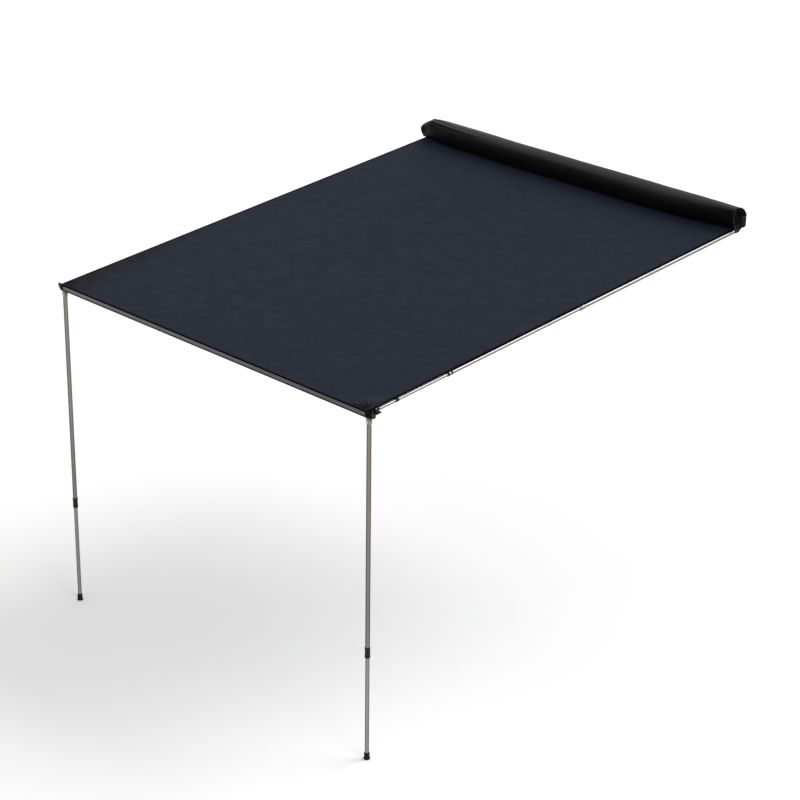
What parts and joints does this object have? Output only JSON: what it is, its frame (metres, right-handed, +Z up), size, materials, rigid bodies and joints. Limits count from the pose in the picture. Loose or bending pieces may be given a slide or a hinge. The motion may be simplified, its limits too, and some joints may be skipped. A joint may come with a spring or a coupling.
{
  "type": "car side awning",
  "caption": "Pull-out side awning for a vehicle roof rack: sloped canopy on folding telescopic arms and legs, with a front bar and a soft storage cover.",
  "frame": {"origin": "middle of the base extrusion's back face, which stands against the roof rack", "axes": "+X along the vehicle towards the end that is nearer in the picture, +Y towards the vehicle, +Z up; the canopy runs out along -Y and falls 4.8 degrees"},
  "size_m": [2.5924, 3.1494, 2.4411],
  "materials": {
    "canopy_fabric": "dark navy coated woven polyester, slightly satin",
    "bag_fabric": "black coated fabric with soft creases",
    "aluminium": "satin anodised extrusion and tube",
    "black_plastic": "fine textured moulding",
    "cap_plastic": "fine textured moulding",
    "black_steel": "black powder coat",
    "steel": "bright zinc plate",
    "rubber": "dull moulded rubber"
  },
  "bodies": {
    "base": {"base_extrusion": "aluminium", "base_end_cap_left": "cap_plastic", "base_end_cap_right": "cap_plastic", "mounting_bracket_left": "black_steel", "mounting_bracket_right": "black_steel", "bracket_bolt_left_low": "steel", "bracket_bolt_left_high": "steel", "bracket_bolt_right_low": "steel", "bracket_bolt_right_high": "steel", "bracket_nut_left_low": "steel", "bracket_nut_left_high": "steel", "bracket_nut_right_low": "steel", "bracket_nut_right_high": "steel", "bag_cover": "bag_fabric", "bag_zip": "black_plastic", "canopy": "canopy_fabric", "canopy_keder_rear": "black_plastic", "arm_hinge_left": "black_plastic", "arm_hinge_right": "black_plastic", "arm_hinge_pin_left": "steel", "arm_hinge_pin_right": "steel"},
    "front_bar_body": {"front_bar": "aluminium", "canopy_keder_front": "black_plastic", "corner_bracket_left": "black_plastic", "corner_bracket_right": "black_plastic", "leg_fork_left": "aluminium", "leg_fork_right": "aluminium", "leg_pin_left": "steel", "leg_pin_right": "steel"},
    "arm_left": {"arm_knuckle_left": "black_plastic", "arm_outer_tube_left": "aluminium"},
    "arm_rear_lock_left": {"arm_rear_collar_left": "black_plastic"},
    "arm_middle_left": {"arm_middle_tube_left": "aluminium"},
    "arm_front_lock_left": {"arm_front_collar_left": "black_plastic"},
    "arm_tip_left": {"arm_inner_tube_left": "aluminium", "arm_stop_ring_left": "black_plastic", "arm_end_left": "black_plastic", "arm_end_bolt_left": "steel"},
    "arm_right": {"arm_knuckle_right": "black_plastic", "arm_outer_tube_right": "aluminium"},
    "arm_rear_lock_right": {"arm_rear_collar_right": "black_plastic"},
    "arm_middle_right": {"arm_middle_tube_right": "aluminium"},
    "arm_front_lock_right": {"arm_front_collar_right": "black_plastic"},
    "arm_tip_right": {"arm_inner_tube_right": "aluminium", "arm_stop_ring_right": "black_plastic", "arm_end_right": "black_plastic", "arm_end_bolt_right": "steel"},
    "leg_left": {"leg_knuckle_left": "aluminium", "leg_upper_tube_left": "aluminium"},
    "leg_lock_left": {"leg_collar_left": "black_plastic"},
    "leg_lower_left": {"leg_lower_tube_left": "aluminium", "leg_foot_left": "rubber"},
    "leg_right": {"leg_knuckle_right": "aluminium", "leg_upper_tube_right": "aluminium"},
    "leg_lock_right": {"leg_collar_right": "black_plastic"},
    "leg_lower_right": {"leg_lower_tube_right": "aluminium", "leg_foot_right": "rubber"}
  },
  "joints": [
    {"name": "bar_slide", "type": "slide", "parent": "base", "child": "front_bar_body", "axis": [0, 0.9965, 0.0837], "range_m": [0, 2.78], "deforming": ["canopy"]},
    {"name": "arm_swing_left", "type": "hinge", "parent": "base", "child": "arm_left", "pos_m": [-1.25, -0.07873, -0.0439], "axis": [0.0175, -0.0837, 0.9963], "range_deg": [0, 90]},
    {"name": "arm_rear_lock_twist_left", "type": "hinge", "parent": "arm_left", "child": "arm_rear_lock_left", "pos_m": [-1.25, -1.44393, -0.15854], "axis": [0, -0.9965, -0.0837], "range_deg": [0, 90]},
    {"name": "arm_middle_slide_left", "type": "slide", "parent": "arm_left", "child": "arm_middle_left", "axis": [0, 0.9965, 0.0837], "range_m": [0, 0.99]},
    {"name": "arm_front_lock_twist_left", "type": "hinge", "parent": "arm_middle_left", "child": "arm_front_lock_left", "pos_m": [-1.25, -2.49024, -0.2464], "axis": [0, -0.9965, -0.0837], "range_deg": [0, 90]},
    {"name": "arm_tip_slide_left", "type": "slide", "parent": "arm_middle_left", "child": "arm_tip_left", "axis": [0, 0.9965, 0.0837], "range_m": [0, 0.355]},
    {"name": "arm_swing_right", "type": "hinge", "parent": "base", "child": "arm_right", "pos_m": [1.25, -0.07873, -0.0439], "axis": [0.0175, 0.0837, -0.9963], "range_deg": [0, 87]},
    {"name": "arm_rear_lock_twist_right", "type": "hinge", "parent": "arm_right", "child": "arm_rear_lock_right", "pos_m": [1.25, -1.44393, -0.15854], "axis": [0, -0.9965, -0.0837], "range_deg": [0, 90]},
    {"name": "arm_middle_slide_right", "type": "slide", "parent": "arm_right", "child": "arm_middle_right", "axis": [0, 0.9965, 0.0837], "range_m": [0, 0.99]},
    {"name": "arm_front_lock_twist_right", "type": "hinge", "parent": "arm_middle_right", "child": "arm_front_lock_right", "pos_m": [1.25, -2.49024, -0.2464], "axis": [0, -0.9965, -0.0837], "range_deg": [0, 90]},
    {"name": "arm_tip_slide_right", "type": "slide", "parent": "arm_middle_right", "child": "arm_tip_right", "axis": [0, 0.9965, 0.0837], "range_m": [0, 0.355]},
    {"name": "leg_fold_left", "type": "hinge", "parent": "front_bar_body", "child": "leg_left", "pos_m": [-1.244, -3.06756, -0.34337], "axis": [0, -1, 0], "range_deg": [0, 90]},
    {"name": "leg_lock_twist_left", "type": "hinge", "parent": "leg_left", "child": "leg_lock_left", "pos_m": [-1.244, -3.06756, -1.67466], "axis": [0, 0, -1], "range_deg": [0, 90]},
    {"name": "leg_lower_slide_left", "type": "slide", "parent": "leg_left", "child": "leg_lower_left", "axis": [0, 0, 1], "range_m": [0, 0.58]},
    {"name": "leg_fold_right", "type": "hinge", "parent": "front_bar_body", "child": "leg_right", "pos_m": [1.244, -3.06756, -0.34337], "axis": [0, 1, 0], "range_deg": [0, 87]},
    {"name": "leg_lock_twist_right", "type": "hinge", "parent": "leg_right", "child": "leg_lock_right", "pos_m": [1.244, -3.06756, -1.67466], "axis": [0, 0, -1], "range_deg": [0, 90]},
    {"name": "leg_lower_slide_right", "type": "slide", "parent": "leg_right", "child": "leg_lower_right", "axis": [0, 0, 1], "range_m": [0, 0.58]}
  ]
}
